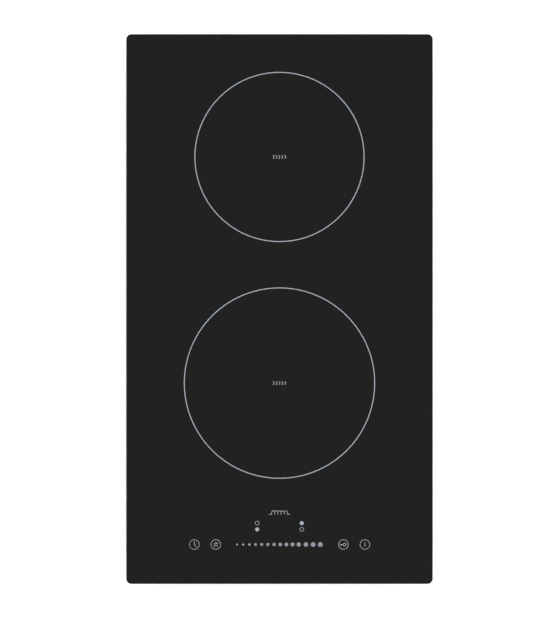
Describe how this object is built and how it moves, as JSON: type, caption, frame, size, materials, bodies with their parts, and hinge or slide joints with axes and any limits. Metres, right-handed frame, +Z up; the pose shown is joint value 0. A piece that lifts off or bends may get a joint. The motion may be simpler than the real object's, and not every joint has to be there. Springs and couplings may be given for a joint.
{
  "type": "induction cooktop",
  "caption": "Built-in two-zone induction cooktop: a black glass plate with printed rings and a touch strip over a slim steel casing with coils, electronics, fan and worktop clamps.",
  "frame": {"origin": "middle of the cooktop in plan, on the top surface of the worktop, which is the underside of the rim's seal", "axes": "+X to the user's right, +Y to the back, +Z up"},
  "size_m": [0.29, 0.52, 0.056],
  "materials": {
    "black_glass": "polished black glass ceramic",
    "print_enamel": "fired pale grey enamel",
    "seal_foam": "closed-cell foam tape",
    "silicone": "cured silicone",
    "zinc_sheet": "galvanised sheet steel",
    "clamp_steel": "bright zinc plate",
    "screw_steel": "bright zinc plate",
    "aluminium_sheet": "mill finish",
    "aluminium_extrusion": "extruded, plain",
    "former_plastic": "glass-filled plastic",
    "litz_copper": "enamelled stranded copper",
    "ferrite": "sintered, dark grey",
    "mica": "pressed mica sheet",
    "sensor_silicone": "white silicone",
    "spring_steel": "drawn wire",
    "lead_sleeve": "glass-braid sleeve",
    "board_laminate": "green solder mask",
    "brass": "turned brass",
    "chip_resin": "moulded epoxy",
    "film_capacitor": "moulded case",
    "capacitor_sleeve": "shrink sleeve",
    "choke_ferrite": "coated ferrite",
    "transformer": "taped bobbin and core",
    "relay_plastic": "moulded case",
    "connector_nylon": "natural nylon",
    "lead_pvc": "insulation",
    "fan_plastic": "black, moulded",
    "stator_steel": "laminations and wire",
    "carrier_plastic": "white, moulded",
    "light_guide": "clear acrylic",
    "buzzer_plastic": "black, moulded",
    "ribbon": "grey flat cable",
    "tub_plastic": "black flame-retardant plastic",
    "block_plastic": "white, moulded",
    "bush_rubber": "black"
  },
  "bodies": {
    "housing": {"board_connectors": "connector_nylon", "board_standoffs": "brass", "bridge_rectifier": "chip_resin", "buzzer": "buzzer_plastic", "cable_bush": "bush_rubber", "cable_clamp": "tub_plastic", "carrier_posts": "carrier_plastic", "casing": "zinc_sheet", "choke_core": "choke_ferrite", "choke_winding": "litz_copper", "clamp_nuts": "screw_steel", "clamp_screws": "screw_steel", "coil_guide_pins": "screw_steel", "coil_tray": "aluminium_sheet", "control_board": "board_laminate", "control_carrier": "carrier_plastic", "control_print": "print_enamel", "electrolytic_capacitors": "capacitor_sleeve", "fan_frame": "fan_plastic", "fan_stator": "stator_steel", "film_capacitors": "film_capacitor", "front_coil_leads": "lead_sleeve", "front_coil_springs": "spring_steel", "glass_adhesive": "silicone", "glass_plate": "black_glass", "heatsink": "aluminium_extrusion", "light_guides": "light_guide", "mains_leads": "lead_pvc", "mounting_screws": "screw_steel", "power_board": "board_laminate", "power_transistors": "chip_resin", "rear_coil_leads": "lead_sleeve", "rear_coil_springs": "spring_steel", "relays": "relay_plastic", "ribbon_cable": "ribbon", "supply_transformer": "transformer", "terminal_block": "block_plastic", "terminal_inserts": "brass", "terminal_screws": "screw_steel", "terminal_tub": "tub_plastic", "touch_springs": "spring_steel", "tray_posts": "screw_steel", "worktop_seal": "seal_foam", "zone_print": "print_enamel"},
    "rear_coil": {"rear_coil_former": "former_plastic", "rear_coil_winding": "litz_copper", "rear_coil_ferrites": "ferrite", "rear_mica_sheet": "mica", "rear_temperature_sensor": "sensor_silicone"},
    "front_coil": {"front_coil_former": "former_plastic", "front_coil_winding": "litz_copper", "front_coil_ferrites": "ferrite", "front_mica_sheet": "mica", "front_temperature_sensor": "sensor_silicone"},
    "fan": {"fan_rotor": "fan_plastic"},
    "clamp_front_left": {"clamp_front_left": "clamp_steel"},
    "clamp_front_right": {"clamp_front_right": "clamp_steel"},
    "clamp_rear_left": {"clamp_rear_left": "clamp_steel"},
    "clamp_rear_right": {"clamp_rear_right": "clamp_steel"},
    "terminal_lid": {"terminal_lid": "tub_plastic"}
  },
  "joints": [
    {"name": "rear_coil_float", "type": "slide", "parent": "housing", "child": "rear_coil", "axis": [0, 0, 1], "range_m": [-0.003, 0], "stiffness_N_per_m": 3000, "springref_m": 0.004, "deforming": ["rear_coil_springs", "rear_coil_leads"]},
    {"name": "front_coil_float", "type": "slide", "parent": "housing", "child": "front_coil", "axis": [0, 0, 1], "range_m": [-0.003, 0], "stiffness_N_per_m": 3000, "springref_m": 0.004, "deforming": ["front_coil_springs", "front_coil_leads"]},
    {"name": "fan_spin", "type": "hinge", "parent": "housing", "child": "fan", "pos_m": [0, -0.16, -0.0427], "axis": [0, 0, 1], "continuous": true},
    {"name": "clamp_front_left_swing", "type": "hinge", "parent": "housing", "child": "clamp_front_left", "pos_m": [-0.115, -0.233, -0.042], "axis": [0, 0, 1], "range_deg": [0, 90]},
    {"name": "clamp_front_right_swing", "type": "hinge", "parent": "housing", "child": "clamp_front_right", "pos_m": [0.115, -0.233, -0.042], "axis": [0, 0, -1], "range_deg": [0, 90]},
    {"name": "clamp_rear_left_swing", "type": "hinge", "parent": "housing", "child": "clamp_rear_left", "pos_m": [-0.115, 0.233, -0.042], "axis": [0, 0, -1], "range_deg": [0, 90]},
    {"name": "clamp_rear_right_swing", "type": "hinge", "parent": "housing", "child": "clamp_rear_right", "pos_m": [0.115, 0.233, -0.042], "axis": [0, 0, 1], "range_deg": [0, 90]},
    {"name": "terminal_lid_hinge", "type": "hinge", "parent": "housing", "child": "terminal_lid", "pos_m": [-0.06, 0.184, -0.0472], "axis": [-1, 0, 0], "range_deg": [0, 105]}
  ]
}
